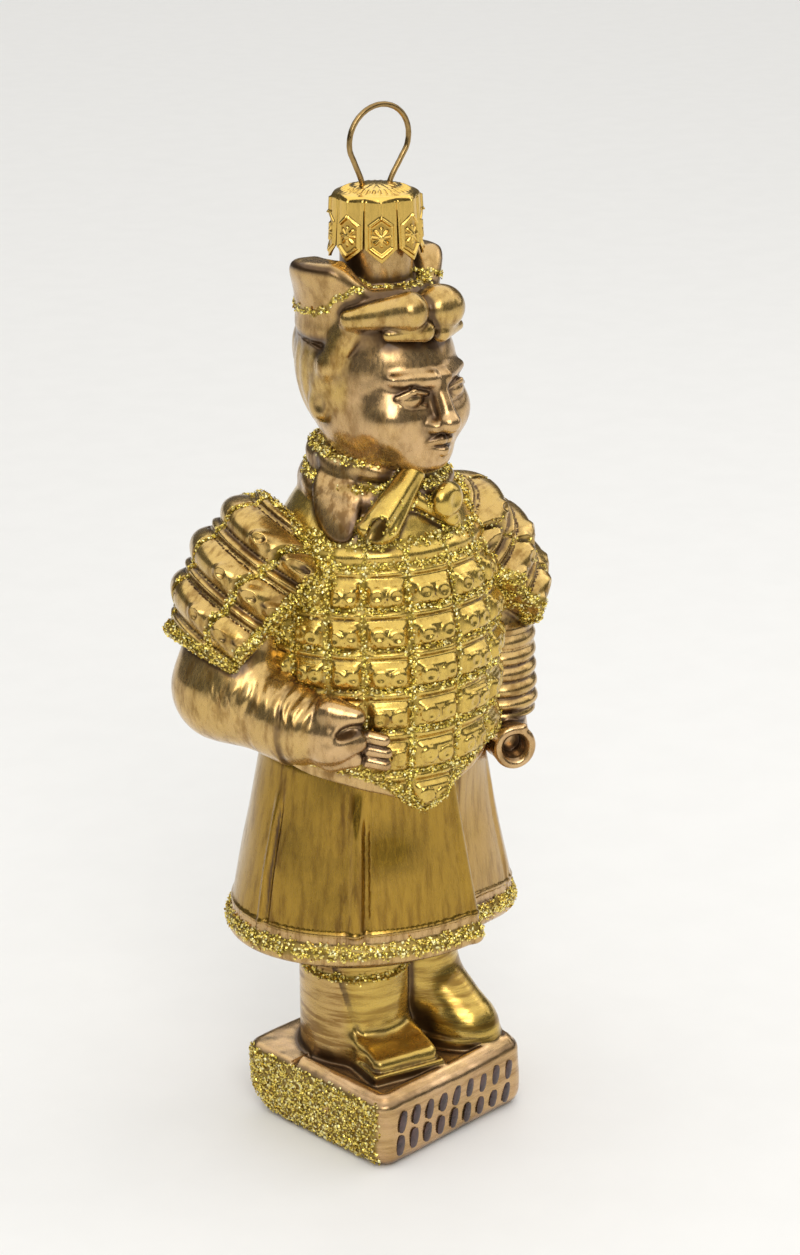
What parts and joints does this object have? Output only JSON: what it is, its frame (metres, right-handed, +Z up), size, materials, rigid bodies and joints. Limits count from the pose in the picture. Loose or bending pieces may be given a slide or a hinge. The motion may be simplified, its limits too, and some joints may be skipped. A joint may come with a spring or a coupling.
{
  "type": "glass christmas tree ornament of a terracotta warrior",
  "caption": "Hanging ornament of gold-lacquered blown glass: an armoured officer of the terracotta army standing on a square plinth, with a crimped metal cap and a wire loop.",
  "frame": {"origin": "centre of the plinth's underside, on the surface it stands on", "axes": "+Z up through the glass neck, -Y out of the plinth's front face"},
  "size_m": [0.0529, 0.0359, 0.14],
  "materials": {
    "lacquered_glass": "opaque metallic gold lacquer with brown and copper shading, clear gloss, and lines of gold glitter",
    "gold_cap": "bright gold-coloured pressed metal",
    "brass_wire": "drawn wire, slightly dulled"
  },
  "bodies": {
    "root": {"glass_figure": "lacquered_glass", "crimped_cap": "gold_cap", "wire_hanger": "brass_wire"}
  },
  "joints": []
}
